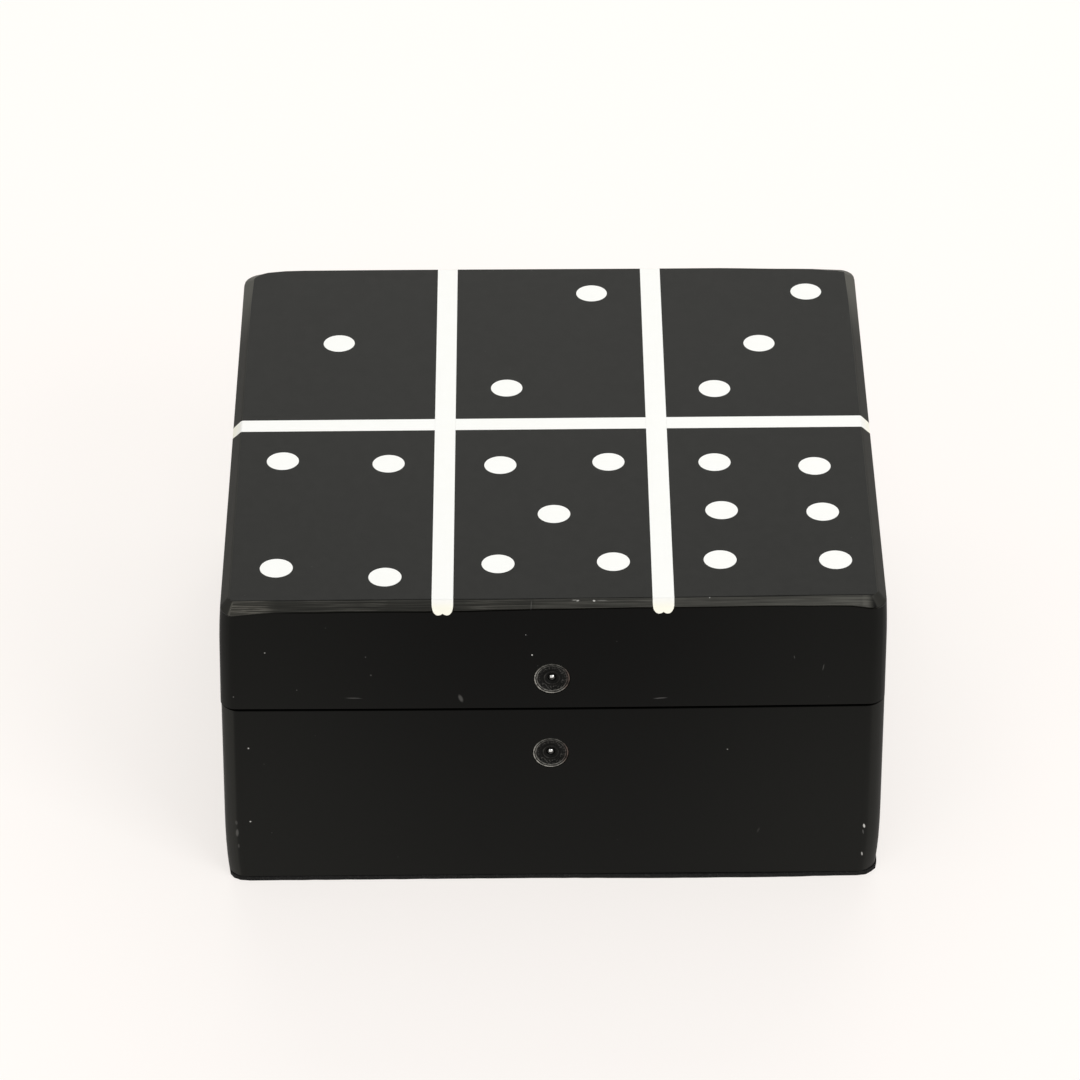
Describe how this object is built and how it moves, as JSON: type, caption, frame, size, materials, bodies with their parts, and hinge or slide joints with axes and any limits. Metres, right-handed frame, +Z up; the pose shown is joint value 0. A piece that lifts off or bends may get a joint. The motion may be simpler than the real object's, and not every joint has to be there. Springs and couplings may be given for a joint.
{
  "type": "hinged keepsake box",
  "caption": "Square black lacquered box with a hinged lid inlaid in white as domino faces, plain round studs on its front and felt underneath.",
  "frame": {"origin": "centre of the underside, on the surface the box stands on", "axes": "+X to the right seen from the front, +Y from the front to the hinges, +Z up"},
  "size_m": [0.1536, 0.149, 0.079],
  "materials": {
    "lacquer": "satin black lacquer, hand rubbed at the edges",
    "inlay": "white cast resin, sanded flush",
    "felt": "black felt",
    "stud": "black, turned rings",
    "brass": "satin brass",
    "steel": "polished steel"
  },
  "bodies": {
    "base": {"base_back_wall": "lacquer", "base_floor_panel": "lacquer", "base_front_wall": "lacquer", "base_left_wall": "lacquer", "base_lining_felt": "felt", "base_right_wall": "lacquer", "left_hinge_base_leaf": "brass", "left_hinge_base_screw_inner": "brass", "left_hinge_base_screw_outer": "brass", "left_hinge_pin": "steel", "lower_stud_disc": "stud", "lower_stud_pin": "steel", "right_hinge_base_leaf": "brass", "right_hinge_base_screw_inner": "brass", "right_hinge_base_screw_outer": "brass", "right_hinge_pin": "steel", "underside_felt": "felt"},
    "lid": {"cross_strip_left": "inlay", "cross_strip_middle": "inlay", "cross_strip_right": "inlay", "left_hinge_lid_leaf": "brass", "left_hinge_lid_screw_inner": "brass", "left_hinge_lid_screw_outer": "brass", "lid_back_wall": "lacquer", "lid_front_wall": "lacquer", "lid_left_wall": "lacquer", "lid_lining_felt": "felt", "lid_right_wall": "lacquer", "lid_top_panel": "lacquer", "long_strip_left": "inlay", "long_strip_right": "inlay", "pip_five_1": "inlay", "pip_five_2": "inlay", "pip_five_3": "inlay", "pip_five_4": "inlay", "pip_five_5": "inlay", "pip_four_1": "inlay", "pip_four_2": "inlay", "pip_four_3": "inlay", "pip_four_4": "inlay", "pip_one_1": "inlay", "pip_six_1": "inlay", "pip_six_2": "inlay", "pip_six_3": "inlay", "pip_six_4": "inlay", "pip_six_5": "inlay", "pip_six_6": "inlay", "pip_three_1": "inlay", "pip_three_2": "inlay", "pip_three_3": "inlay", "pip_two_1": "inlay", "pip_two_2": "inlay", "right_hinge_lid_leaf": "brass", "right_hinge_lid_screw_inner": "brass", "right_hinge_lid_screw_outer": "brass", "upper_stud_disc": "stud", "upper_stud_pin": "steel"}
  },
  "joints": [
    {"name": "lid_hinge", "type": "hinge", "parent": "base", "child": "lid", "pos_m": [0, 0.0721, 0.0495], "axis": [-1, 0, 0], "range_deg": [0, 100]}
  ]
}
